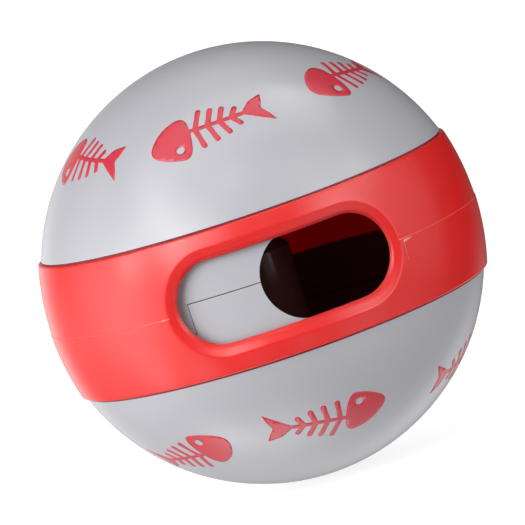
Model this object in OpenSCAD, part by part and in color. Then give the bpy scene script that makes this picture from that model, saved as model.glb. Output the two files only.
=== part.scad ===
// Treat dispensing ball for a cat.
// Two grey shells plug together on a post and pin along the ball's axis.
// A red ring with a slot turns on their necks and opens or closes the port in them.
// The origin is the centre of the ball, +Z runs along its axis to the upper shell, and the slot faces -Y.
// Lengths are in millimetres and turns in degrees. A turn of 0 faces -Y, and a positive turn goes towards +X.

/* [Domes] */
// Outer diameter of the two domes
ball_d = 60; // [54:1:70]
// Wall of the domes
dome_t = 1.8; // [1.4:0.1:2.2]

/* [Ring] */
// Height of the ring along the axis
ring_h = 19; // [17:0.5:21]
// How far the middle of the ring stands out past the domes' diameter, on each side
ring_proud = 0.3; // [0.2:0.05:0.6]
// How far the ring's edges stand out past the domes beside them
edge_proud = 0.5; // [0.3:0.05:0.7]
// Wall of the ring at its edges
edge_t = 1; // [0.8:0.1:1.2]
// Wall of the ring at its middle
ring_t = 1.1; // [1:0.1:1.3]
// Height of the band inside each edge that runs on the neck; between the two the ring stands off the necks
land_h = 1.2; // [1:0.1:1.6]
// Bevel along the ring's two outer corners
ring_bevel = 0.25; // [0.15:0.05:0.35]
// Depth of the mould's parting line around the ring
parting_depth = 0.1; // [0.05:0.05:0.2]

/* [Slot in the ring] */
// Clear height of the slot
slot_h = 11; // [10:0.1:12]
// Turn that the slot spans at the ring's inner face
slot_span = 59.1; // [50:0.1:62]
// Slope of the slot's bevelled rim away from straight through
slot_flare = 64; // [58:1:65]
// How far the slot's middle lies above the ring's
slot_rise = 0.2; // [0:0.05:0.3]

/* [Necks] */
// Wall of the necks
neck_t = 1.6; // [1.2:0.1:2]
// How far the line where the necks meet lies above the middle of the ball
neck_rise = 0.25; // [0:0.05:0.4]
// Height from the necks' middle at which they stop at the back of the ball
neck_end = 3.6; // [3:0.1:4.2]
// Height of the port through the necks
port_h = 12.4; // [11:0.2:13.6]
// Turn that the port spans
port_span = 62.3; // [50.3:0.5:63.8]
// Turn from the middle of the slot to the middle of the port
port_turn = 24.5; // [0:0.5:60]
// How far the seam beside the port lies above or below the necks' middle
seam_rise = 0.55; // [0.3:0.05:0.8]
// Turn from the middle of the port to the step in the seam
key_turn = 52.4; // [44:0.2:60]
// Turn from the middle of the port to the end of the closed wall
wall_turn = 96; // [84:1:110]

/* [Posts] */
// Diameter of the two centre posts
post_d = 8.4; // [7.6:0.2:9.6]
// Height above the middle plane at which the pin post's full diameter ends
post_end = 1.6; // [1.2:0.1:2]
// Diameter of the pin on the end of the pin post
pin_d = 5.6; // [5:0.2:6]
// Height above the middle plane of the pin's tip
pin_end = 14; // [10:0.5:18]
// Height above the middle plane at which the socket post starts
socket_end = 3.5; // [3.2:0.1:5]
// Height of the flat boss inside each dome that carries its post
boss_h = 1.2; // [0.8:0.1:2]

/* [Fish prints] */
// Length of a printed fish skeleton
fish_l = 16.9; // [14:0.1:18]
// Latitude of the fish's backbone on the upper dome
upper_fish_lat = 46.5; // [42:0.5:52]
// Latitude of the fish's backbone on the lower dome, below the middle plane
lower_fish_lat = 42; // [41:0.5:50]
// Thickness of the ink
ink_t = 0.08; // [0.06:0.01:0.12]

/* [Clearances] */
// Radial gap between the necks and the ring that turns on them
run_gap = 0.1; // [0.06:0.01:0.1]
// Gap between each end of the ring and the dome beside it
end_gap = 0.1; // [0.05:0.05:0.2]
// Gap at the seam between the two necks
key_gap = 0.12; // [0.08:0.02:0.2]
// Radial gap between the pin and its socket
pin_gap = 0.05; // [0.03:0.01:0.08]
// Space left between the pin's tip and the end of its socket
tip_gap = 0.5; // [0.3:0.1:1]
// Space between the ink and the plastic under it
ink_gap = 0.01; // [0.01:0.01:0.02]

/* [Hidden] */
$fn = 96;

// Overrun of every cut past the face that it opens
over = ball_d / 40;

// Domes
ball_r = ball_d / 2;
cavity_r = ball_r - dome_t;
shoulder_z = ring_h / 2 + end_gap;
boss_z = cavity_r - boss_h;

// Ring: its outer face is an arc through the middle and both edges, and its inner face one between the lands
ring_r = ball_r + ring_proud;
edge_r = sqrt(pow(ball_r, 2) - pow(ring_h / 2, 2)) + edge_proud;
crown_drop = ring_r - edge_r;
crown_r = (pow(crown_drop, 2) + pow(ring_h / 2, 2)) / (2 * crown_drop);
crown_steps = 14;
ring_in_r = edge_r - edge_t;
hollow_r = ring_r - ring_t;
hollow_half = ring_h / 2 - land_h;
hollow_drop = hollow_r - ring_in_r;
hollow_crown_r = (pow(hollow_drop, 2) + pow(hollow_half, 2)) / (2 * hollow_drop);

// Slot: its lip at the long sides, the growth of its rim for each unit of depth, and its cut from start to end
lip_r = hollow_r - hollow_crown_r + sqrt(pow(hollow_crown_r, 2) - pow(slot_h / 2, 2));
rim_slope_share = tan(slot_flare);
flare_start_share = 0.97;
flare_start_r = flare_start_share * lip_r;
flare_start_half = slot_h / 2 - (lip_r - flare_start_r) * rim_slope_share;
flare_far_r = ring_r + over;
flare_far_half = slot_h / 2 + (flare_far_r - lip_r) * rim_slope_share;

// Turn from the middle of a round end's flared cut to the slot's end, and from the slot's middle to that cut
round_end_turn = slot_flare + asin((slot_h / 2 * cos(slot_flare) - lip_r * sin(slot_flare)) / hollow_r);
slot_end_turn = slot_span / 2 - round_end_turn;

// Necks
neck_r = ring_in_r - run_gap;
neck_in_r = neck_r - neck_t;
// The port's round ends are cut a trace larger than its straight edges, so that no face meets another at a tangent
port_relief = 0.02;
port_end_turn = port_span / 2 - asin(port_h / 2 / neck_r);
key_gap_turn = asin(key_gap / neck_r);

// Posts
post_r = post_d / 2;
pin_r = pin_d / 2;
socket_r = pin_r + pin_gap;
socket_depth_z = pin_end + tip_gap;

// Fish prints: the turn of each fish around its dome, and its turn about its own middle
upper_fish_turns = [[-140, -5], [-64.5, -11], [-7, 1], [58, -9], [134, -6]];
lower_fish_turns = [[-130, -4], [-55.5, 2], [-1, -13], [67.5, 9], [143, -4]];
ink_in_r = ball_r + ink_gap;
ink_out_r = ink_in_r + ink_t;

// Fish skeleton in shares of its length: places along the backbone, widths, and reaches above and below it
head_x_share = -0.3;
spine_t_share = 0.038;
spine_reach_share = 0.06;
rib_t_share = 0.046;
rib_lean_share = 0.048;
rib_x_shares = [-0.117, -0.014, 0.084, 0.182];
rib_up_shares = [0.172, 0.15, 0.125, 0.078];
rib_down_shares = [-0.18, -0.156, -0.128, -0.083];
tail_x_share = 0.278;

// Corners that the head's outline rounds off, and the eye in it, from the head's place on the backbone
head_shares = [
    [-0.205, -0.06], [-0.09, 0.11], [0.085, 0.18], [0.15, -0.005],
    [0.155, -0.255], [0, -0.245], [-0.175, -0.165]
];
eye_shares = [0.053, -0.152];
eye_r_share = 0.033;

// The tail's outline, from its root on the backbone
tail_shares = [
    [0, 0.017], [0.08, 0.1], [0.196, 0.145], [0.178, 0.07], [0.147, -0.006],
    [0.19, -0.08], [0.225, -0.165], [0.09, -0.08], [0, -0.017]
];

// Colours
shell_grey = [0.76, 0.77, 0.79];
post_grey = [0.70, 0.70, 0.72];
ring_red = [0.86, 0.18, 0.17];
print_red = [0.87, 0.30, 0.35];

// Turns its children so that a turn of 0 faces -Y
module at_turn(turn) {
    rotate([0, 0, turn - 90])
        children();
}

// Wedge of a ring between two turns, with its section drawn as radius and height
module sector(from_turn, to_turn) {
    at_turn(from_turn)
        rotate_extrude(angle = to_turn - from_turn)
            children();
}

// Section of a plain tube
module tube_section(in_r, out_r, low_z, high_z) {
    translate([in_r, low_z])
        square([out_r - in_r, high_z - low_z]);
}

// Shell of a dome above its shoulder, with the boss that carries the post
module dome_shape() {
    intersection() {
        union() {
            difference() {
                sphere(r = ball_r);
                sphere(r = cavity_r);
            }
            intersection() {
                sphere(r = (ball_r + cavity_r) / 2);
                translate([0, 0, boss_z])
                    cylinder(r = post_r, h = boss_h + dome_t);
            }
        }
        translate([0, 0, shoulder_z])
            cylinder(r = ball_r + over, h = ball_r);
    }
}

// Port through the necks: a long hole with round ends, wrapped around the axis
module port_cut() {
    sector(port_turn - port_end_turn, port_turn + port_end_turn)
        tube_section(neck_in_r - over, neck_r + over, -port_h / 2, port_h / 2);
    for (side = [-1, 1])
        at_turn(port_turn + side * port_end_turn)
            rotate([0, 90, 0])
                translate([0, 0, neck_in_r - neck_r / 4])
                    cylinder(r = port_h / 2 + port_relief, h = neck_r / 4 + neck_t + over);
}

// Everything above a height, between two turns, as far out as a share of the overrun
module above(low_z, from_turn, to_turn, reach_share) {
    sector(port_turn + from_turn, port_turn + to_turn)
        tube_section(neck_in_r - over * reach_share, neck_r + over * reach_share, low_z, shoulder_z);
}

// Neck below the middle of the necks: low at the back, higher in front, with a tongue on one side of the port
module neck_shape(root_z) {
    difference() {
        rotate_extrude()
            tube_section(neck_in_r, neck_r, -root_z, neck_end - key_gap);
        above(-neck_end, wall_turn, 360 - key_turn + key_gap_turn / 2, 1);
        above(seam_rise - key_gap / 2, -key_turn - port_end_turn, key_turn, 0.8);
        above(-seam_rise - key_gap / 2, 0, key_turn + key_gap_turn / 2, 0.6);
        port_cut();
    }
}

// The second neck is the first one turned over about the line through the port's middle
module turned_over() {
    at_turn(port_turn)
        rotate([180, 0, 0])
            rotate([0, 0, 90 - port_turn])
                children();
}

// Radius of the crown at a height above the middle plane
function crown_at(z) = ring_r - crown_r + sqrt(pow(crown_r, 2) - pow(z, 2));

// Radius of the hollow inner face at a height above the middle plane
function hollow_at(z) = hollow_r - hollow_crown_r + sqrt(pow(hollow_crown_r, 2) - pow(z, 2));

// Upper half of the section's outline from the parting line to the bevelled edge
half_outline = [
    for (i = [1:crown_steps])
        let (z = parting_depth + (ring_h / 2 - ring_bevel - parting_depth) * i / crown_steps)
            [crown_at(z), z]
];

// Section of the ring: a crowned outer face with a fine groove, and an inner face hollowed between its lands
module ring_section() {
    turned_half = [for (i = [1:crown_steps]) let (p = half_outline[crown_steps - i]) [p[0], -p[1]]];
    polygon(concat(
        [[ring_in_r, ring_h / 2]],
        [for (i = [0:crown_steps]) let (z = hollow_half * (1 - 2 * i / crown_steps)) [hollow_at(z), z]],
        [[ring_in_r, -ring_h / 2], [edge_r - ring_bevel, -ring_h / 2]],
        turned_half,
        [[crown_at(parting_depth), -parting_depth], [ring_r - parting_depth, 0]],
        [[crown_at(parting_depth), parting_depth]],
        half_outline,
        [[edge_r - ring_bevel, ring_h / 2]]
    ));
}

// Slot through the ring: a long hole with round ends that widens from the inner face to the crown
module slot_cut() {
    translate([0, 0, slot_rise]) {
        sector(-slot_end_turn, slot_end_turn)
            polygon([
                [flare_start_r, -flare_start_half], [flare_far_r, -flare_far_half],
                [flare_far_r, flare_far_half], [flare_start_r, flare_start_half]
            ]);
        for (side = [-1, 1])
            at_turn(side * slot_end_turn)
                rotate([0, 90, 0])
                    translate([0, 0, flare_start_r])
                        cylinder(r1 = flare_start_half, r2 = flare_far_half, h = flare_far_r - flare_start_r);
    }
}

// Flat drawing of one fish part, sunk through the ink at its own turn and at the backbone's latitude
module on_dome(turn, lat) {
    rotate([0, 0, turn])
        rotate([0, 90 - lat, 0])
            translate([0, 0, ball_r - ball_r / 6])
                linear_extrude(height = ball_r / 3)
                    rotate(90)
                        children();
}

// Turn around the dome that a share of the fish's length takes up
function share_turn(share, lat) = share * fish_l / (ball_r * cos(lat)) * 180 / PI;

// Outline with every corner cut off at a quarter of its two sides
function rounded(points) = [
    for (i = [0:len(points) - 1])
        let (a = points[i], b = points[(i + 1) % len(points)])
            each [a * 0.75 + b * 0.25, a * 0.25 + b * 0.75]
];

// A rib as a round-ended bar from the backbone to its tip
module rib(tip_y) {
    lean = rib_lean_share * fish_l;
    rotate(atan2(tip_y, lean)) {
        translate([0, -rib_t_share * fish_l / 2])
            square([norm([lean, tip_y]), rib_t_share * fish_l]);
        translate([norm([lean, tip_y]), 0])
            circle(r = rib_t_share * fish_l / 2, $fn = 8);
    }
}

// Length of the backbone on both sides of one rib, or of the tail's root
module spine_length() {
    square([2 * spine_reach_share, spine_t_share] * fish_l, center = true);
}

// Prism of a whole fish, part by part along the backbone, facing +X
module fish_prism(lat) {
    on_dome(share_turn(head_x_share, lat), lat)
        difference() {
            polygon(rounded(head_shares) * fish_l);
            translate(eye_shares * fish_l)
                circle(r = eye_r_share * fish_l, $fn = 12);
        }
    for (i = [0:len(rib_x_shares) - 1])
        on_dome(share_turn(rib_x_shares[i], lat), lat) {
            spine_length();
            rib(rib_up_shares[i] * fish_l);
            rib(rib_down_shares[i] * fish_l);
        }
    on_dome(share_turn(tail_x_share, lat), lat) {
        spine_length();
        polygon(tail_shares * fish_l);
    }
}

// Ink of one fish, facing +X: the part of a thin skin over the dome that lies inside the fish's prism
module fish_print(lat) {
    intersection() {
        difference() {
            sphere(r = ink_out_r);
            sphere(r = ink_in_r);
        }
        fish_prism(lat);
    }
}

// Fish facing +X, turned about its own middle
module tilted_fish(lat, tilt) {
    rotate([0, 90 - lat, 0])
        rotate([0, 0, tilt])
            rotate([0, lat - 90, 0])
                fish_print(lat);
}

module upper_dome() {
    color(shell_grey)
        dome_shape();
}

module lower_dome() {
    color(shell_grey)
        mirror([0, 0, 1])
            dome_shape();
}

module lower_neck() {
    color(shell_grey)
        translate([0, 0, neck_rise])
            neck_shape(shoulder_z + neck_rise);
}

module upper_neck() {
    color(shell_grey)
        translate([0, 0, neck_rise])
            turned_over()
                neck_shape(shoulder_z - neck_rise);
}

module pin_post() {
    cone_h = post_r - pin_r;
    color(post_grey)
        rotate_extrude()
            polygon([
                [0, -boss_z], [post_r, -boss_z], [post_r, post_end], [pin_r, post_end + cone_h],
                [pin_r, pin_end - cone_h / 2], [pin_r - cone_h / 2, pin_end], [0, pin_end]
            ]);
}

module socket_post() {
    color(post_grey)
        rotate_extrude()
            polygon([
                [socket_r, socket_end], [post_r, socket_end], [post_r, boss_z],
                [0, boss_z], [0, socket_depth_z], [socket_r, socket_depth_z]
            ]);
}

module slot_ring() {
    color(ring_red)
        difference() {
            rotate_extrude()
                ring_section();
            slot_cut();
        }
}

module upper_fish_prints() {
    color(print_red)
        for (fish = upper_fish_turns)
            at_turn(fish[0])
                tilted_fish(upper_fish_lat, fish[1]);
}

module lower_fish_prints() {
    color(print_red)
        for (fish = lower_fish_turns)
            at_turn(fish[0])
                rotate([180, 0, 0])
                    tilted_fish(lower_fish_lat, fish[1]);
}

upper_dome();
upper_neck();
socket_post();
upper_fish_prints();
lower_dome();
lower_neck();
pin_post();
lower_fish_prints();
slot_ring();
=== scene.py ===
"""Looks of the treat dispensing ball, built around its CAD frame.

Sizes are written in millimetres and turned into metres when a mesh is made.
A turn of 0 faces -Y, and a positive turn goes towards +X, as in the CAD source.
"""

import math

import bmesh
import bpy
import numpy as np
from mathutils import Matrix, Vector
from mathutils.geometry import delaunay_2d_cdt


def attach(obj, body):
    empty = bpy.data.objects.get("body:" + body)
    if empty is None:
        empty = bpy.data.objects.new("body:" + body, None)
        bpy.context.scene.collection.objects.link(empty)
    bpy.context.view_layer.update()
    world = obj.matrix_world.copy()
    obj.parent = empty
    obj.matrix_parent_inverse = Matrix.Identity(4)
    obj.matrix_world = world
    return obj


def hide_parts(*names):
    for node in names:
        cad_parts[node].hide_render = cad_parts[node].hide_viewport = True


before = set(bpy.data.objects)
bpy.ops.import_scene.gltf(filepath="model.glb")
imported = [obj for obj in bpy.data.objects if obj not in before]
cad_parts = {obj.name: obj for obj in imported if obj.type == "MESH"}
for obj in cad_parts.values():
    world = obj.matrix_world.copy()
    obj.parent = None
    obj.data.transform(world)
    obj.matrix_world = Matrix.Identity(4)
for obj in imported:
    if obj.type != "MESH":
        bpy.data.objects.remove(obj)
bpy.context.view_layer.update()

MM = 0.001
rad = math.radians
scene = bpy.context.scene

# Sizes shared with the CAD: shells
BALL_R = 30.0
DOME_T = 1.8
CAVITY_R = BALL_R - DOME_T
BOSS_H = 1.2
BOSS_Z = CAVITY_R - BOSS_H
NECK_T = 1.6
RUN_GAP = 0.1
END_GAP = 0.1
POST_R, POST_END = 4.2, 1.6
PIN_R, PIN_END = 2.8, 14.0
SOCKET_R, SOCKET_END = 2.85, 3.5
TIP_GAP = 0.5

# Sizes shared with the CAD: ring
RING_HALF = 9.5
RING_PROUD, EDGE_PROUD = 0.3, 0.5
EDGE_T = 1.0
RING_T = 1.1
LAND_H = 1.2
SHOULDER_Z = RING_HALF + END_GAP
RING_R = BALL_R + RING_PROUD
EDGE_R = math.sqrt(BALL_R**2 - RING_HALF**2) + EDGE_PROUD
CROWN_DROP = RING_R - EDGE_R
CROWN_R = (CROWN_DROP**2 + RING_HALF**2) / (2 * CROWN_DROP)
RING_IN_R = EDGE_R - EDGE_T
NECK_IN_R = RING_IN_R - RUN_GAP - NECK_T
HOLLOW_R = RING_R - RING_T
HOLLOW_HALF = RING_HALF - LAND_H
HOLLOW_DROP = HOLLOW_R - RING_IN_R
HOLLOW_CROWN_R = (HOLLOW_DROP**2 + HOLLOW_HALF**2) / (2 * HOLLOW_DROP)

# Slot in the ring, drawn a little shorter than the CAD's so that its convex rim fits the photo
SLOT_HALF = 5.5
SLOT_RISE = 0.2
SLOT_SPAN = rad(58.5)
FLARE = rad(64)
SLOPE = math.tan(FLARE)
LIP_R = HOLLOW_R - HOLLOW_CROWN_R + math.sqrt(HOLLOW_CROWN_R**2 - SLOT_HALF**2)
ROUND_END = FLARE + math.asin((SLOT_HALF * math.cos(FLARE) - LIP_R * math.sin(FLARE)) / HOLLOW_R)
SLOT_END = SLOT_SPAN / 2 - ROUND_END

# Difference that counts as none, and the distance in metres within which points are welded
TINY = 1e-6
WELD = 1e-7


# ---------------------------------------------------------------- mesh helpers
def make_piece(name, points, faces, material, body, stands_for):
    """Mesh object from points in millimetres, which rides on a body and stands for a CAD node."""
    mesh = bpy.data.meshes.new(name)
    mesh.from_pydata([tuple(c * MM for c in p) for p in points], [], faces)
    bm = bmesh.new()
    bm.from_mesh(mesh)
    bmesh.ops.remove_doubles(bm, verts=bm.verts, dist=WELD)
    bmesh.ops.recalc_face_normals(bm, faces=bm.faces)
    bm.to_mesh(mesh)
    bm.free()
    mesh.shade_smooth()
    mesh.materials.append(material)
    piece = bpy.data.objects.new(name, mesh)
    scene.collection.objects.link(piece)
    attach(piece, body)
    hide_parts(stands_for)


def on_radius(turn, z, r):
    """Point at a turn around the ball's axis, a height and a radius."""
    return (r * math.sin(turn), -r * math.cos(turn), z)


def lathe(profile, columns):
    """Points and faces of a profile of (radius, height) turned about the ball's axis."""
    points, faces, rows = [], [], []
    for r, z in profile:
        if r < TINY:
            rows.append([len(points)])
            points.append((0, 0, z))
            continue
        rows.append(list(range(len(points), len(points) + columns)))
        points.extend(on_radius(2 * math.pi * i / columns, z, r) for i in range(columns))
    for a, b in zip(rows, rows[1:]):
        for i in range(columns):
            j = (i + 1) % columns
            face = [a[i % len(a)], a[j % len(a)], b[j % len(b)], b[i % len(b)]]
            face = list(dict.fromkeys(face))
            if len(face) > 2:
                faces.append(face)
    return points, faces


def curve3(a, b, c, steps):
    """Points of a smooth curve that leaves a towards b and reaches c, without a itself."""
    a, b, c = (np.array(p, float) for p in (a, b, c))
    out = []
    for i in range(1, steps + 1):
        t = i / steps
        out.append(tuple((1 - t) ** 2 * a + 2 * t * (1 - t) * b + t * t * c))
    return out


def joined(first, *runs):
    """One list of points from a first point and the runs that follow it."""
    out = [tuple(first)]
    for run in runs:
        out.extend(tuple(p) for p in run)
    return out


def bridged(a, b):
    """Faces between two rows of points."""
    return [[a[k], a[k + 1], b[k + 1], b[k]] for k in range(len(a) - 1)]


# ---------------------------------------------------------------- node helpers
def node_adder(tree):
    """Function that adds a node to a tree and fills its sockets with values or links."""

    def add(kind, sockets=None, operation=None, data_type=None):
        node = tree.nodes.new("ShaderNode" + kind)
        if operation:
            node.operation = operation
        if data_type:
            node.data_type = data_type
        for key, value in (sockets or {}).items():
            if isinstance(value, bpy.types.NodeSocket):
                tree.links.new(value, node.inputs[key])
            else:
                node.inputs[key].default_value = value
        return node

    return add


def sum_adder(add):
    """Function that adds one sum on numbers and gives its result."""

    def number(operation, *values):
        return add("Math", dict(enumerate(values)), operation=operation).outputs[0]

    return number


def linear(*rgb):
    """Linear colour from 0 to 255 display values."""
    return tuple(
        (c / 255 / 12.92) if c / 255 < 0.04045 else ((c / 255 + 0.055) / 1.055) ** 2.4
        for c in rgb
    ) + (1.0,)


# ---------------------------------------------------------------- materials
SHELL_GREY = linear(178, 178, 184), linear(184, 184, 190)
# Painted shade: darker, warmer colours for the inner faces and the posts, standing in for the dim
# red light inside the ball
PAINTED_SHADE_MAROON, PAINTED_SHADE_BROWN = linear(150, 62, 65), linear(134, 84, 84)
ROUGH_SPREAD = 0.03
# The mould's parting line around the ring: its height, its width, its depth and the pale colour of
# the painted highlight along it
PARTING_Z, PARTING_WIDTH, PARTING_DEPTH = -0.1, 0.12, 0.15
PARTING_HIGHLIGHT_PALE = linear(240, 92, 84)
# How far the painted shade reaches past an inner face, and up the domes from their shoulders
PAINTED_SHADE_REACH, PAINTED_SHADE_RISE = 0.2, 0.16


def plastic(name, low, high, rough, grain, depth):
    """Moulded plastic: a faint drift in colour, uneven gloss and a fine uneven surface."""
    material = bpy.data.materials.new(name)
    material.use_nodes = True
    tree = material.node_tree
    add = node_adder(tree)
    shader = tree.nodes["Principled BSDF"]
    place = add("TexCoord").outputs["Object"]
    drift = add("TexNoise", {"Vector": place, "Scale": 55, "Detail": 3})
    tone = add("Mix", {0: drift.outputs["Fac"], 6: low, 7: high}, data_type="RGBA")
    tree.links.new(tone.outputs[2], shader.inputs["Base Color"])
    fine = add("TexNoise", {"Vector": place, "Scale": grain, "Detail": 4}).outputs["Fac"]
    gloss = add("MapRange", {
        "Value": fine, "From Min": 0.3, "From Max": 0.7,
        "To Min": rough - ROUGH_SPREAD, "To Max": rough + ROUGH_SPREAD,
    })
    tree.links.new(gloss.outputs["Result"], shader.inputs["Roughness"])
    bump = add("Bump", {"Strength": 0.25, "Distance": depth, "Height": fine})
    tree.links.new(bump.outputs["Normal"], shader.inputs["Normal"])
    shader.inputs["IOR"].default_value = 1.5
    return material


def tinted(material, mask, colour):
    """Lays a colour over a material's own where a mask of numbers is 1."""
    tree = material.node_tree
    base = tree.nodes["Principled BSDF"].inputs["Base Color"]
    old = base.links[0].from_socket
    tint = node_adder(tree)("Mix", {0: mask, 6: old, 7: colour}, data_type="RGBA")
    tree.links.new(tint.outputs[2], base)


def from_middle(add, place, height):
    """Distance from the ball's middle, or from its axis where the height counts for 0."""
    flat = add("VectorMath", {0: place, 1: (1, 1, height)}, operation="MULTIPLY")
    return add("VectorMath", {0: flat.outputs["Vector"]}, operation="LENGTH").outputs["Value"]


def painted_shade_inside(name, reach, inner, height=0):
    """The shells' grey with painted shade: darker and warmer on the inner faces, as if lit only by
    light that has passed the red ring.

    With a height of 1 the reach is a sphere, and the domes' shoulders beside the ring get the
    painted shade too.
    """
    material = plastic(name, *SHELL_GREY, 0.2, 900, 4e-6)
    add = node_adder(material.node_tree)
    number = sum_adder(add)
    place = add("TexCoord").outputs["Object"]
    inside = number("LESS_THAN", from_middle(add, place, height), reach * MM)
    # With a height of 1, painted shade also on the domes' shoulders, where the gap beside the ring
    # falls into shadow
    level = number("ABSOLUTE", add("SeparateXYZ", {0: place}).outputs["Z"])
    shoulder = number("LESS_THAN", level, (SHOULDER_Z + PAINTED_SHADE_RISE) * MM * height)
    # Lays the painted shade over the grey where the mask is 1
    tinted(material, number("MAXIMUM", inside, shoulder), inner)
    return material


def with_painted_parting_highlight(material):
    """Adds a pale line on the ring's outer face where the mould's halves met: a painted highlight
    of the light that the small step there catches.
    """
    add = node_adder(material.node_tree)
    number = sum_adder(add)
    place = add("TexCoord").outputs["Object"]
    level = add("SeparateXYZ", {0: place}).outputs["Z"]
    near = number("COMPARE", level, PARTING_Z * MM, PARTING_WIDTH / 2 * MM)
    outer = number("GREATER_THAN", from_middle(add, place, 0), (RING_R - PARTING_DEPTH) * MM)
    # Painted highlight: the pale band along the parting line on the outer face
    tinted(material, number("MULTIPLY", near, outer), PARTING_HIGHLIGHT_PALE)


ring_red = plastic("ring_red", linear(226, 38, 36), linear(230, 43, 41), 0.16, 900, 4e-6)
with_painted_parting_highlight(ring_red)
ring_shader = ring_red.node_tree.nodes["Principled BSDF"]
ring_shader.inputs["Subsurface Weight"].default_value = 0.8
ring_shader.inputs["Subsurface Radius"].default_value = (1.0, 0.1, 0.1)
ring_shader.inputs["Subsurface Scale"].default_value = 1.2 * MM
# Painted glint: the pale colour of the flash pads beside the slot's ends
flash_painted_glint = plastic("flash_painted_glint", linear(244, 160, 144), linear(248, 170, 154), 0.4, 900, 2e-6)
print_red = plastic("print_red", linear(199, 55, 68), linear(205, 60, 73), 0.24, 700, 2e-6)
# Painted shade on the necks' inner faces, all over the posts, and on the domes' inner faces and
# shoulders
neck_grey = painted_shade_inside("neck_grey", NECK_IN_R + PAINTED_SHADE_REACH, PAINTED_SHADE_MAROON)
post_grey = painted_shade_inside("post_grey", POST_R + PAINTED_SHADE_REACH, PAINTED_SHADE_BROWN)
dome_grey = painted_shade_inside("dome_grey", CAVITY_R + PAINTED_SHADE_REACH, PAINTED_SHADE_MAROON, 1)
for node in ("upper_neck", "lower_neck"):
    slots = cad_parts[node].data.materials
    slots.clear()
    slots.append(neck_grey)


# ---------------------------------------------------------------- domes and posts
DOME_COLUMNS, POST_COLUMNS = 288, 128
CONE_H = 1.4
# How far edges are rounded or broken: on the domes' shoulders and bosses, and on the posts
SHOULDER_SOFT, SHOULDER_BREAK, BOSS_BREAK = 0.22, 0.05, 0.1
POST_SOFT, PIN_TIP_SOFT, MOUTH_SOFT, BORE_SOFT = 0.15, 0.8, 0.3, 0.25


def arc(r, start, end, count):
    """Points of (radius, height) along an arc around the ball's middle."""
    return [(r * math.cos(f), r * math.sin(f)) for f in np.linspace(start, end, count)]


def dome_profile():
    """Outline of a dome's wall from its pole, round the shoulder and back inside to the boss."""
    start = math.asin((SHOULDER_Z + SHOULDER_SOFT) / BALL_R)
    outside = arc(BALL_R, math.pi / 2, start, 90)[1:]
    lip_r = math.sqrt(BALL_R**2 - SHOULDER_Z**2)
    lip = curve3(outside[-1], (lip_r, SHOULDER_Z), (lip_r - SHOULDER_SOFT, SHOULDER_Z), 6)
    in_r = math.sqrt(CAVITY_R**2 - SHOULDER_Z**2)
    stop = math.asin(math.sqrt(CAVITY_R**2 - POST_R**2) / CAVITY_R)
    inside = arc(CAVITY_R, math.asin(SHOULDER_Z / CAVITY_R), stop, 40)
    return joined(
        (0, BALL_R), outside, lip, [(in_r + SHOULDER_BREAK, SHOULDER_Z)], inside,
        [(POST_R, BOSS_Z + BOSS_BREAK), (POST_R - BOSS_BREAK, BOSS_Z), (0, BOSS_Z)],
    )


def pin_profile():
    """Outline of the lower post from its foot up over the cone to the pin's tip."""
    cone_end = POST_END + CONE_H
    rim = (POST_R, POST_END - POST_SOFT)
    waist = (PIN_R + POST_SOFT, cone_end - POST_SOFT)
    tip = (PIN_R, PIN_END - PIN_TIP_SOFT)
    return joined(
        (0, -BOSS_Z), [(POST_R, -BOSS_Z), (POST_R, -1), rim],
        curve3(rim, (POST_R, POST_END), (POST_R - 0.12, POST_END + 0.12), 4),
        [waist], curve3(waist, (PIN_R, cone_end), (PIN_R, cone_end + 0.2), 4),
        [tip], curve3(tip, (PIN_R - 0.1, PIN_END), (PIN_R - 0.9, PIN_END), 5),
        [(0, PIN_END)],
    )


def socket_profile():
    """Outline of the upper post from its foot down to its mouth and up inside its bore."""
    rim = (POST_R, SOCKET_END + MOUTH_SOFT)
    mouth = (SOCKET_R + BORE_SOFT, SOCKET_END)
    return joined(
        (0, BOSS_Z), [(POST_R, BOSS_Z), rim],
        curve3(rim, (POST_R, SOCKET_END), (POST_R - MOUTH_SOFT, SOCKET_END), 4),
        [mouth], curve3(mouth, (SOCKET_R, SOCKET_END), (SOCKET_R, SOCKET_END + BORE_SOFT), 4),
        [(SOCKET_R, PIN_END + TIP_GAP), (0, PIN_END + TIP_GAP)],
    )


points, faces = lathe(dome_profile(), DOME_COLUMNS)
make_piece(
    "upper_dome_skin", points, faces, dome_grey, "upper_shell", "upper_dome"
)
# The lower dome is the upper one turned over
points = [(x, -y, -z) for x, y, z in points]
make_piece(
    "lower_dome_skin", points, faces, dome_grey, "lower_shell", "lower_dome"
)
points, faces = lathe(pin_profile(), POST_COLUMNS)
make_piece(
    "pin_post_turned", points, faces, post_grey, "lower_shell", "pin_post"
)
points, faces = lathe(socket_profile(), POST_COLUMNS)
make_piece(
    "socket_post_turned", points, faces, post_grey, "upper_shell", "socket_post"
)


# ---------------------------------------------------------------- ring
# Front patch around the slot, whose strips run from the inner face over the rim to the crown.
# Its reach is the arc from a slot's end to its side, and its corner lies at an angle from there
PATCH_TURN = rad(43)
PATCH_Z = 9.2
ARC_R = 29.6
PATCH_REACH = (PATCH_TURN - SLOT_END) * ARC_R
PATCH_CORNER = math.atan2(PATCH_Z, PATCH_REACH)
# Height of the inner face's smooth part, and the height over which the slot's rise fades out
LAND_Z = 9.35
RISE_FADE = 1.1
# The crown lies a little inside the CAD's, so that the step at the parting line stays within it
CROWN_INSET = 0.065
STEP_HALF, STEP_SOFT = 0.045, 0.03
# Depth and growth along the rounded lip and along the rim's outer edge, and the bevel's swell
LIP_CURVE = (0, 0.5), (0, -0.12), (0.25, 0)
EDGE_CURVE = (-0.2, 0), (0, 0), (0, 0.45)
RIM_SWELL = 0.3
# Growth of the first rows on the crown, which still follow the slot's outline
CROWN_ROWS = 0.6, 0.8, 1.0
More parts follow.
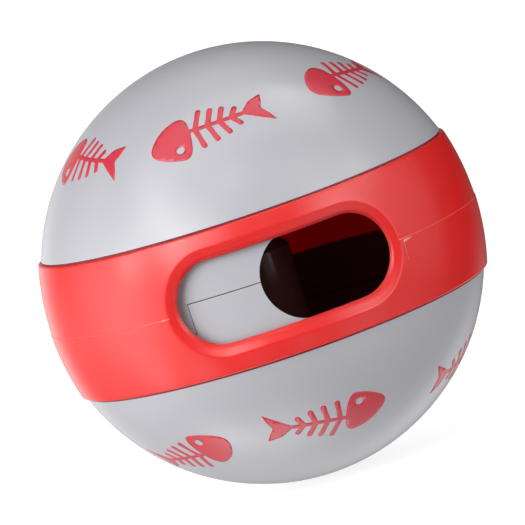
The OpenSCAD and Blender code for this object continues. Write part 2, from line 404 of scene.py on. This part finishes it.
# Steps along a strip, and how they crowd towards the lip, and columns of the rest of the ring
INNER_STEPS, SOFT_STEPS, BEVEL_STEPS, CROWN_STEPS = 8, 7, 7, 14
CROWDING = 0.7
BACK_COLUMNS = 200
# Rounded top and bottom of the ring: how far the crown leans in and is rounded, and the land
EDGE_LEAN, EDGE_SOFT, LAND_SOFT = 0.05, 0.4, 0.15
# Rounds in which a point of the rim settles on a face of the ring
SETTLE_ROUNDS = 16
# Heights of the strips beside the parting line, close together where the step lies
STEP_HEIGHTS = (
    0.56, 0.34, 0.14, -0.04, -0.16, -0.22, -0.26, -0.29, -0.31, -0.34, -0.38, -0.44, -0.56, -0.76
)


def raised(z):
    """Height from the ring's middle of a height from the slot's, which lies a little higher."""
    return z + SLOT_RISE * min(1, max(0, (PATCH_Z - abs(z)) / RISE_FADE))


def crown_at(z):
    """Radius of the ring's outer face, with the small step where the mould's halves meet."""
    step = -STEP_HALF * math.tanh((z - PARTING_Z) / STEP_SOFT)
    return RING_R - CROWN_INSET - CROWN_R + math.sqrt(CROWN_R**2 - z * z) + step


def hollow_at(z):
    """Radius of the ring's inner face, which is hollowed between its two lands."""
    return max(RING_IN_R, HOLLOW_R - HOLLOW_CROWN_R + math.sqrt(HOLLOW_CROWN_R**2 - z * z))


def rim_point(ray, radius, grow):
    """Turn and height where a ray of the slot's outline lies at a radius, grown by a length."""
    kind, value, side = ray
    if kind == "straight":
        return value, side * (SLOT_HALF + (radius - LIP_R) * SLOPE + grow)
    base = SLOT_HALF - LIP_R * SLOPE + grow
    # along**2 + across**2 is radius**2, and across**2 is (spread * reach)**2 - fixed**2
    if kind == "angle":
        spread, fixed = math.cos(value), 0
    else:
        spread, fixed = 1, value
    a = 1 + (spread * SLOPE) ** 2
    b = 2 * spread**2 * base * SLOPE
    c = (spread * base) ** 2 - fixed**2 - radius**2
    along = (-b + math.sqrt(b * b - 4 * a * c)) / (2 * a)
    reach = base + SLOPE * along
    if kind == "angle":
        across, height = reach * math.cos(value), reach * math.sin(value)
    else:
        across, height = math.sqrt(max(reach**2 - value**2, 0)), value
    return side * (SLOT_END + math.atan2(across, along)), height


def edge_target(ray):
    """Where a ray of the slot's outline meets the edge of the ring's front patch."""
    kind, value, side = ray
    if kind == "straight":
        return value, side * PATCH_Z
    if kind == "height":
        return side * PATCH_TURN, value
    if abs(value) < PATCH_CORNER - TINY:
        return side * PATCH_TURN, PATCH_REACH * math.tan(value)
    height = math.copysign(PATCH_Z, value)
    return side * (SLOT_END + PATCH_Z / abs(math.tan(value)) / ARC_R), height


def slot_rays():
    """Rays of the slot's outline, clockwise once round from the left end of its top."""
    corner, quarter = PATCH_CORNER, rad(90)
    upper = {*np.linspace(quarter, corner, 20), *np.linspace(corner, rad(8), 12)}
    lower = {*np.linspace(-rad(8.5), -corner, 12), *np.linspace(-corner, -quarter, 20)}
    right = [("angle", v, 1) for v in sorted(upper, reverse=True)]
    right += [("height", z, 1) for z in STEP_HEIGHTS]
    right += [("angle", v, 1) for v in sorted(lower, reverse=True)]
    left = [(k, v, -1) for k, v, _ in reversed(right)]
    along = np.linspace(-SLOT_END, SLOT_END, 40)[1:-1]
    top = [("straight", v, 1) for v in along]
    bottom = [("straight", v, -1) for v in reversed(along)]
    return top + right + bottom + left


def rim_under(ray, face, sink, grow):
    """Point of the rim a given depth from a face of the ring at its own height."""
    radius = face(0)
    for _ in range(SETTLE_ROUNDS):
        turn, z = rim_point(ray, radius, grow)
        radius = face(raised(z)) + sink
    return on_radius(turn, raised(z), radius)


def turn_of(point):
    """Turn around the ball's axis at which a point lies."""
    return math.atan2(point[0], -point[1])


def slot_strip(ray):
    """Points along one ray from the patch's inner edge over the slot's rim to its outer edge."""
    patch_turn, patch_z = edge_target(ray)
    # Inner face, from the patch's edge to the lip
    strip = []
    lip = rim_under(ray, hollow_at, *LIP_CURVE[0])
    start_z = raised(patch_z) * LAND_Z / PATCH_Z
    for i in range(INNER_STEPS + 1):
        t = (i / INNER_STEPS) ** CROWDING
        z = start_z + (lip[2] - start_z) * t
        strip.append(on_radius(patch_turn + (turn_of(lip) - patch_turn) * t, z, hollow_at(z)))
    # Rounded lip, then the bevel
    strip += [rim_under(ray, hollow_at, *p) for p in curve3(*LIP_CURVE, SOFT_STEPS)]
    low, high = strip[-1], rim_under(ray, crown_at, *EDGE_CURVE[0])
    low_r, high_r = math.hypot(low[0], low[1]), math.hypot(high[0], high[1])
    for t in np.linspace(0, 1, BEVEL_STEPS + 1)[1:-1]:
        radius = low_r + (high_r - low_r) * t
        turn, z = rim_point(ray, radius, -RIM_SWELL * 4 * t * (1 - t))
        strip.append(on_radius(turn, raised(z), radius))
    strip.append(high)
    # Rounded outer edge of the rim, then the crown
    strip += [rim_under(ray, crown_at, *p) for p in curve3(*EDGE_CURVE, SOFT_STEPS)]
    strip += [rim_under(ray, crown_at, 0, grow) for grow in CROWN_ROWS]
    last_turn, last_z = turn_of(strip[-1]), strip[-1][2]
    for i in range(1, CROWN_STEPS + 1):
        t = i / CROWN_STEPS
        z = last_z + (raised(patch_z) - last_z) * t
        strip.append(on_radius(last_turn + (patch_turn - last_turn) * t, z, crown_at(z)))
    return strip


def edge_section(sign):
    """Outline of (radius, height) of the ring's rounded top or bottom, from crown to hollow."""
    z, end = sign * PATCH_Z, sign * RING_HALF
    r = crown_at(z)
    land = (RING_IN_R + LAND_SOFT, end)
    return joined(
        (r, z), curve3((r, z), (r - EDGE_LEAN, end), (r - EDGE_SOFT, end), 6),
        [land], curve3(land, (RING_IN_R, end), (RING_IN_R, sign * LAND_Z), 4),
    )


def build_ring():
    """Points and faces of the whole ring: front patch, the rest of the turn, and both edges."""
    points, faces = [], []

    def add(run):
        start = len(points)
        points.extend(run)
        return range(start, len(points))

    rays = slot_rays()
    strips = [add(slot_strip(ray)) for ray in rays]
    for a, b in zip(strips, strips[1:] + strips[:1]):
        faces.extend(bridged(a, b))

    # Rest of the ring: columns from one side of the patch round the back to the other
    targets = [edge_target(ray) for ray in rays]
    side_z = sorted({round(z, 9) for turn, z in targets if abs(turn - PATCH_TURN) < TINY})
    outer_z = [raised(z) for z in side_z]
    inner_z = [z * LAND_Z / PATCH_Z for z in outer_z]
    turns = list(np.linspace(PATCH_TURN, 2 * math.pi - PATCH_TURN, BACK_COLUMNS))
    for heights, face in ((outer_z, crown_at), (inner_z, hollow_at)):
        columns = [add(on_radius(turn, z, face(z)) for z in heights) for turn in turns]
        for a, b in zip(columns, columns[1:]):
            faces.extend(bridged(a, b))

    # Rounded top and bottom edges over the whole turn
    front = sorted({round(turn, 9) for turn, z in targets if abs(z) > PATCH_Z - TINY})
    for sign in (1, -1):
        section = edge_section(sign)
        rows = [add(on_radius(turn, z, r) for r, z in section) for turn in front + turns[1:-1]]
        for a, b in zip(rows, rows[1:] + rows[:1]):
            faces.extend(bridged(a, b))
    return points, faces


# Moulding flash beside the slot's ends, in degrees of turn and heights. Their pale colour is a
# painted glint, where light catches the nicks there
FLASH = (
    [
        (32.9, -0.68), (33.6, -0.62), (34.8, -0.5), (36.1, -0.38),
        (34.8, -0.34), (33.6, -0.32), (32.95, -0.34),
    ],
    [(32.77, -1.9), (32.84, -1.9), (33.02, -0.68), (32.92, -0.68)],
    [(32.84, -3.1), (32.88, -3.1), (32.84, -1.9), (32.77, -1.9)],
    [(-33.9, -0.14), (-32.9, -0.18), (-32.85, -0.04), (-33.9, -0.07)],
)
FLASH_ROOT, FLASH_PROUD = 0.03, 0.012


def build_flash():
    """Points and faces of the thin pads of flash on the ring's outer face."""
    points, faces = [], []
    for outline in FLASH:
        start, count = len(points), len(outline)
        for rise in (-FLASH_ROOT, FLASH_PROUD):
            points.extend(on_radius(rad(turn), z, crown_at(z) + rise) for turn, z in outline)
        faces.append(list(range(start + count, start + 2 * count)))
        faces.append(list(range(start + count - 1, start - 1, -1)))
        for i in range(count):
            j = (i + 1) % count
            faces.append([start + i, start + j, start + count + j, start + count + i])
    return points, faces


points, faces = build_ring()
make_piece("slot_ring_moulding", points, faces, ring_red, "ring", "slot_ring")
points, faces = build_flash()
make_piece("slot_ring_flash", points, faces, flash_painted_glint, "ring", "slot_ring")


# ---------------------------------------------------------------- fish prints
# Skeleton in shares of the fish's length, as in the CAD
FISH_L = 16.9
HEAD_X, TAIL_X = -0.3, 0.278
SPINE_T, RIB_T, RIB_LEAN = 0.038, 0.046, 0.048
# How far the spine's ends lie from the places of the head and the tail
SPINE_START, SPINE_END = 0.13, 0.03
RIB_X = (-0.117, -0.014, 0.084, 0.182)
RIB_UP = (0.172, 0.15, 0.125, 0.078)
RIB_DOWN = (-0.18, -0.156, -0.128, -0.083)
HEAD = [
    (-0.205, -0.06), (-0.09, 0.11), (0.085, 0.18), (0.15, -0.005),
    (0.155, -0.255), (0, -0.245), (-0.175, -0.165),
]
EYE, EYE_R = (0.053, -0.152), 0.033
TAIL = [
    (0, 0.017), (0.08, 0.1), (0.196, 0.145), (0.178, 0.07), (0.147, -0.006),
    (0.19, -0.08), (0.225, -0.165), (0.09, -0.08), (0, -0.017),
]
INK_HALF = 0.02

# Share and number of times that the corners of the head and the tail are cut off
HEAD_CUT, TAIL_CUT = (0.25, 3), (0.1, 2)

# Grid of points that keeps the ink's triangles small, so that they follow the dome. Its small
# shift keeps it off the outlines, and points of the map that are nearer than MAP_WELD are one
GRID_STEP = 0.55
GRID_X = np.arange(-9, 9, GRID_STEP) + 0.013
GRID_Y = np.arange(-5, 4, GRID_STEP) + 0.017
MAP_WELD = 1e-5

# Turn of each fish around its dome and its tilt, in degrees, and the latitude of a dome's fish
UPPER_FISH = (-140, -5), (-64.5, -11), (-7, 1), (58, -9), (134, -6)
LOWER_FISH = (-130, -4), (-55.5, 2), (-1, -13), (67.5, 9), (143, -4)
UPPER_LAT, LOWER_LAT = rad(46.5), rad(42)


def cut_corners(shape, share, rounds):
    """Outline with each corner cut off at a share of its two sides, again and again."""
    for _ in range(rounds):
        out = []
        for a, b in zip(shape, shape[1:] + shape[:1]):
            out.append((a[0] + (b[0] - a[0]) * share, a[1] + (b[1] - a[1]) * share))
            out.append((b[0] + (a[0] - b[0]) * share, b[1] + (a[1] - b[1]) * share))
        shape = out
    return shape


def rib(tip_y):
    """Outline of a rib from the spine's middle to its round tip, above or below it."""
    length, turn, half = math.hypot(RIB_LEAN, tip_y), math.atan2(tip_y, RIB_LEAN), RIB_T / 2
    tip = [
        (length + half * math.cos(a), half * math.sin(a))
        for a in np.linspace(-math.pi / 2, math.pi / 2, 11)
    ]
    c, s = math.cos(turn), math.sin(turn)
    return [(x * c - y * s, x * s + y * c) for x, y in [(0, -half), *tip, (0, half)]]


def to_map(shape, place, lat):
    """Flat outline of a fish part to turn and latitude, both as lengths on the dome."""
    out = []
    for x, y in shape:
        x, y = x * FISH_L, y * FISH_L
        depth = math.sqrt(BALL_R**2 - x * x - y * y)
        px = -y * math.sin(lat) + depth * math.cos(lat)
        pz = y * math.cos(lat) + depth * math.sin(lat)
        turn = math.atan2(x, px) + place * FISH_L / (BALL_R * math.cos(lat))
        out.append((turn * BALL_R * math.cos(lat), (math.asin(pz / BALL_R) - lat) * BALL_R))
    return out


def inside(p, shape):
    """Whether a flat point lies within an outline."""
    hit = False
    for (x0, y0), (x1, y1) in zip(shape, shape[1:] + shape[:1]):
        if (y0 > p[1]) != (y1 > p[1]) and p[0] < (x1 - x0) * (p[1] - y0) / (y1 - y0) + x0:
            hit = not hit
    return hit


def fish_sheet(lat):
    """Points and triangles of one fish on a map of the dome."""
    parts = [to_map(cut_corners(HEAD, *HEAD_CUT), HEAD_X, lat)]
    for place, up, down in zip(RIB_X, RIB_UP, RIB_DOWN):
        parts.append(to_map(rib(up), place, lat))
        parts.append(to_map(rib(down), place, lat))
    parts.append(to_map(cut_corners(TAIL, *TAIL_CUT), TAIL_X, lat))
    half = SPINE_T * FISH_L / 2
    steps = np.linspace((HEAD_X + SPINE_START) * FISH_L, (TAIL_X + SPINE_END) * FISH_L, 40)
    parts.append([(x, -half) for x in steps] + [(x, half) for x in reversed(steps)])
    around = np.linspace(0, 2 * math.pi, 25)[:-1]
    eye = [(EYE[0] + EYE_R * math.cos(k), EYE[1] + EYE_R * math.sin(k)) for k in around]
    eye = to_map(eye, HEAD_X, lat)

    def inked(p):
        return any(inside(p, shape) for shape in parts) and not inside(p, eye)

    verts, edges = [], []
    for shape in parts + [eye]:
        first = len(verts)
        verts += [Vector(p) for p in shape]
        edges += [(first + i, first + (i + 1) % len(shape)) for i in range(len(shape))]
    verts += [Vector((x, y)) for x in GRID_X for y in GRID_Y if inked((x, y))]
    out = delaunay_2d_cdt(verts, edges, [], 0, MAP_WELD)
    flat = [tuple(v) for v in out[0]]
    tris = []
    for face in out[2]:
        middle = [sum(flat[i][k] for i in face) / len(face) for k in (0, 1)]
        if inked(middle):
            tris.append(list(face))
    return flat, tris


def print_fish(fishes, lat, lower):
    """Points and faces of all the fish of one dome, as thin ink with its sides."""
    flat, tris = fish_sheet(lat)
    border = {edge for f in tris for edge in zip(f, f[1:] + f[:1])}
    rim = sorted((a, b) for a, b in border if (b, a) not in border)
    points, faces = [], []
    lean = Matrix.Rotation(math.pi / 2 - lat, 3, "Y")
    for turn, tilt in fishes:
        settle = lean @ Matrix.Rotation(rad(tilt), 3, "Z") @ lean.inverted()
        place = Matrix.Rotation(rad(turn) - math.pi / 2, 3, "Z")
        if lower:
            place = place @ Matrix.Rotation(math.pi, 3, "X")
        place = place @ settle
        top, low = len(points), len(points) + len(flat)
        for r in (BALL_R + INK_HALF, BALL_R - INK_HALF):
            for x, y in flat:
                t, f = x / (BALL_R * math.cos(lat)), lat + y / BALL_R
                p = Vector((math.cos(f) * math.cos(t), math.cos(f) * math.sin(t), math.sin(f))) * r
                points.append(tuple(place @ p))
        faces += [[top + i for i in f] for f in tris]
        faces += [[low + i for i in reversed(f)] for f in tris]
        faces += [[top + a, low + a, low + b, top + b] for a, b in rim]
    return points, faces


points, faces = print_fish(UPPER_FISH, UPPER_LAT, False)
make_piece(
    "upper_fish_ink", points, faces, print_red, "upper_shell", "upper_fish_prints"
)
points, faces = print_fish(LOWER_FISH, LOWER_LAT, True)
make_piece(
    "lower_fish_ink", points, faces, print_red, "lower_shell", "lower_fish_prints"
)


# ---------------------------------------------------------------- camera
# Where the view comes from, how it leans, and how far away the camera is in metres
TURN, RISE, ROLL, AWAY = rad(-4.5), rad(6.5), rad(18.5), 0.67
back = Vector((math.sin(TURN) * math.cos(RISE), -math.cos(TURN) * math.cos(RISE), math.sin(RISE)))
right = Vector((math.cos(TURN), math.sin(TURN), 0))
up = back.cross(right)
cam_right = math.cos(ROLL) * right - math.sin(ROLL) * up
cam_up = math.cos(ROLL) * up + math.sin(ROLL) * right
camera = bpy.data.objects.new("camera", bpy.data.cameras.new("camera"))
scene.collection.objects.link(camera)
camera.data.lens = 339
camera.data.sensor_width = 36
camera.data.clip_start, camera.data.clip_end = 0.05, 20
camera.matrix_world = Matrix((
    (cam_right.x, cam_up.x, back.x, back.x * AWAY),
    (cam_right.y, cam_up.y, back.y, back.y * AWAY),
    (cam_right.z, cam_up.z, back.z, back.z * AWAY),
    (0, 0, 0, 1),
))
scene.camera = camera


# ---------------------------------------------------------------- light
# Directions are given by how far they go to the right, up and towards the camera, before its roll.
# Glows of the room: a direction, the sharpness and the strength
ROOM_GLOWS = (
    (-0.57, 0.14, 0.81, 1, 0.36),
    (-0.59, 0.40, 0.70, 24, 5.3),
    (-0.65, 0.26, 0.72, 80, 1.7),
    (-0.68, 0.60, 0.42, 60, 3.1),
    (-0.91, 0.28, 0.31, 80, 2.75),
    (-0.98, -0.06, 0.18, 8, 2.85),
    (-0.88, -0.47, 0.13, 80, 1.1),
    (-0.83, -0.01, -0.55, 24, 0.5),
    (-0.82, -0.38, -0.42, 24, 0.3),
    (-0.48, -0.85, -0.23, 60, 2.1),
    (-0.16, -0.98, -0.13, 24, 2.1),
    (-0.07, -0.81, -0.58, 8, 1.1),
    (0.53, -0.67, 0.52, 24, 0.7),
    (0.76, -0.62, 0.19, 8, 0.6),
    (0.72, 0.11, 0.69, 24, 3.6),
    (0.86, 0.41, 0.30, 80, 2.4),
    (0.59, 0.52, 0.62, 24, 1.3),
    (0.95, 0.22, 0.23, 8, 0.7),
    (-0.05, 0.75, 0.66, 60, 1.9),
    (0.45, 0.89, -0.09, 80, 2.0),
    (0.11, 0.93, -0.35, 24, 0.8),
    (0.33, -0.46, -0.83, 22, 0.85),
    (-0.40, 0.02, -0.92, 16, 1.05),
)
# Panes and lamps that only show as gloss
GLOSS_GLOWS = (
    (-0.87, 0.29, 0.41, 80, 1.0),
    (-0.65, 0.30, 0.71, 80, 1.1),
    (-0.33, 0.32, 0.89, 60, 2.0),
    (0.10, 0.32, 0.94, 60, 0.7),
    (-0.94, 0.26, -0.20, 40, 0.5),
    (-0.66, -0.60, 0.45, 80, 1.1),
    (-0.30, -0.64, 0.70, 60, 0.6),
    (0.12, -0.65, 0.75, 60, 0.6),
)
# Light behind the ball, which shines through the red plastic
BEHIND_GLOW = (0, 0.25, -0.97, 12, 5)
# Large soft box overhead, whose edges the domes mirror. It is turned about the upright, and each
# edge has a place where it is dark and one where it is bright
BOX_COS, BOX_SIN, BOX_STRENGTH = 0.954, 0.299, 1.4
BOX_LEFT, BOX_RIGHT = (-1.1, -1.0), (0.995, 0.935)
BOX_FAR, BOX_NEAR = (-0.18, -0.12), (0.62, 0.37)
# Lowest rise of a view that the box's places are worked out from
LOWEST = 0.01
# Pane on the right with straight edges, which the ring mirrors
PANE_GLOW = (0.98, 0, 0.2, 5, 0.35)
PANE_FAR, PANE_TOP, PANE_FOOT = (-0.32, -0.27), (0.4, 0.24), (-0.42, -0.26)
WHITE = (1, 1, 1, 1)

world = bpy.data.worlds.new("white_room")
scene.world = world
world.use_nodes = True
tree = world.node_tree
add = node_adder(tree)
number = sum_adder(add)
view = add("TexCoord").outputs["Generated"]


def along(to_right, to_up, to_camera):
    """How far the view in the room goes along a direction."""
    way = right * to_right + up * to_up + back * to_camera
    return add("VectorMath", {0: view, 1: way}, operation="DOT_PRODUCT").outputs["Value"]


def soft_glow(to_right, to_up, to_camera, sharpness, strength):
    """Soft glow around a direction."""
    size = math.sqrt(to_right**2 + to_up**2 + to_camera**2)
    ahead = number("MAXIMUM", along(to_right / size, to_up / size, to_camera / size), 0)
    return number("MULTIPLY", number("POWER", ahead, sharpness), strength)


def soft_edge(value, dark, bright):
    """Soft step from dark at one value to bright at another."""
    rising = bright > dark
    step = add("MapRange", {
        "Value": value, "From Min": min(dark, bright), "From Max": max(dark, bright),
        "To Min": 0 if rising else 1, "To Max": 1 if rising else 0,
    })
    step.interpolation_type = "SMOOTHSTEP"
    return step.outputs["Result"]


def product(first, *others):
    """Product of two or more numbers."""
    for other in others:
        first = number("MULTIPLY", first, other)
    return first


path = add("LightPath").outputs
room = soft_glow(*ROOM_GLOWS[0])
for way in ROOM_GLOWS[1:]:
    room = number("ADD", room, soft_glow(*way))
behind = number("MULTIPLY", soft_glow(*BEHIND_GLOW), path["Is Diffuse Ray"])
height = number("MAXIMUM", along(0, 1, 0), LOWEST)
across = number("DIVIDE", along(BOX_COS, 0, -BOX_SIN), height)
deep = number("DIVIDE", along(BOX_SIN, 0, BOX_COS), height)
box = product(soft_edge(across, *BOX_LEFT), soft_edge(across, *BOX_RIGHT))
box = product(box, product(soft_edge(deep, *BOX_FAR), soft_edge(deep, *BOX_NEAR)), BOX_STRENGTH)
pane = product(
    soft_glow(*PANE_GLOW), soft_edge(along(0, 0, 1), *PANE_FAR),
    soft_edge(along(0, 1, 0), *PANE_TOP), soft_edge(along(0, 1, 0), *PANE_FOOT),
)
shine = box
for way in GLOSS_GLOWS:
    shine = number("ADD", shine, soft_glow(*way))
shine = number("MULTIPLY", number("ADD", shine, pane), path["Is Glossy Ray"])
room = number("ADD", room, number("ADD", behind, shine))

# The camera and clear parts see plain white
lit = tree.nodes["Background"]
lit.inputs["Color"].default_value = WHITE
tree.links.new(room, lit.inputs["Strength"])
shown = add("Background", {"Color": WHITE, "Strength": 1.0})
seen = number("MAXIMUM", path["Is Camera Ray"], path["Is Transmission Ray"])
blend = add("MixShader", {0: seen, 1: lit.outputs[0], 2: shown.outputs[0]})
tree.links.new(blend.outputs[0], tree.nodes["World Output"].inputs["Surface"])


# ---------------------------------------------------------------- floor and output
# Half of the floor's width in metres, its grey, and what is added for the camera to reach white
FLOOR_HALF, FLOOR_GREY, FLOOR_LIFT = 6, 0.42, 0.72


def floor_white():
    """Matt floor that the camera sees as white with a faint shadow, and as clear from below."""
    material = bpy.data.materials.new("floor_white")
    material.use_nodes = True
    tree = material.node_tree
    add = node_adder(tree)
    shader = tree.nodes["Principled BSDF"]
    shader.inputs["Base Color"].default_value = (FLOOR_GREY, FLOOR_GREY, FLOOR_GREY, 1)
    shader.inputs["Roughness"].default_value = 0.9
    seen = add("LightPath").outputs["Is Camera Ray"]
    lift = sum_adder(add)("MULTIPLY", seen, FLOOR_LIFT)
    glow = add("Emission", {"Color": WHITE, "Strength": lift})
    above = add("AddShader", {0: shader.outputs[0], 1: glow.outputs[0]})
    below = add("NewGeometry").outputs["Backfacing"]
    clear = add("BsdfTransparent")
    surface = add("MixShader", {0: below, 1: above.outputs[0], 2: clear.outputs[0]})
    tree.links.new(surface.outputs[0], tree.nodes["Material Output"].inputs["Surface"])
    return material


corners = [(-1, -1), (1, -1), (1, 1), (-1, 1)]
corners = [(x * FLOOR_HALF, y * FLOOR_HALF, 0) for x, y in corners]
floor_mesh = bpy.data.meshes.new("floor")
floor_mesh.from_pydata(corners, [], [[0, 1, 2, 3]])
floor_mesh.materials.append(floor_white())
floor = bpy.data.objects.new("floor", floor_mesh)
floor.location = (0, 0, -BALL_R * MM)
scene.collection.objects.link(floor)
floor.visible_diffuse = False
floor.visible_glossy = False
floor.visible_shadow = False

scene.view_settings.view_transform = "Standard"

bpy.context.view_layer.update()
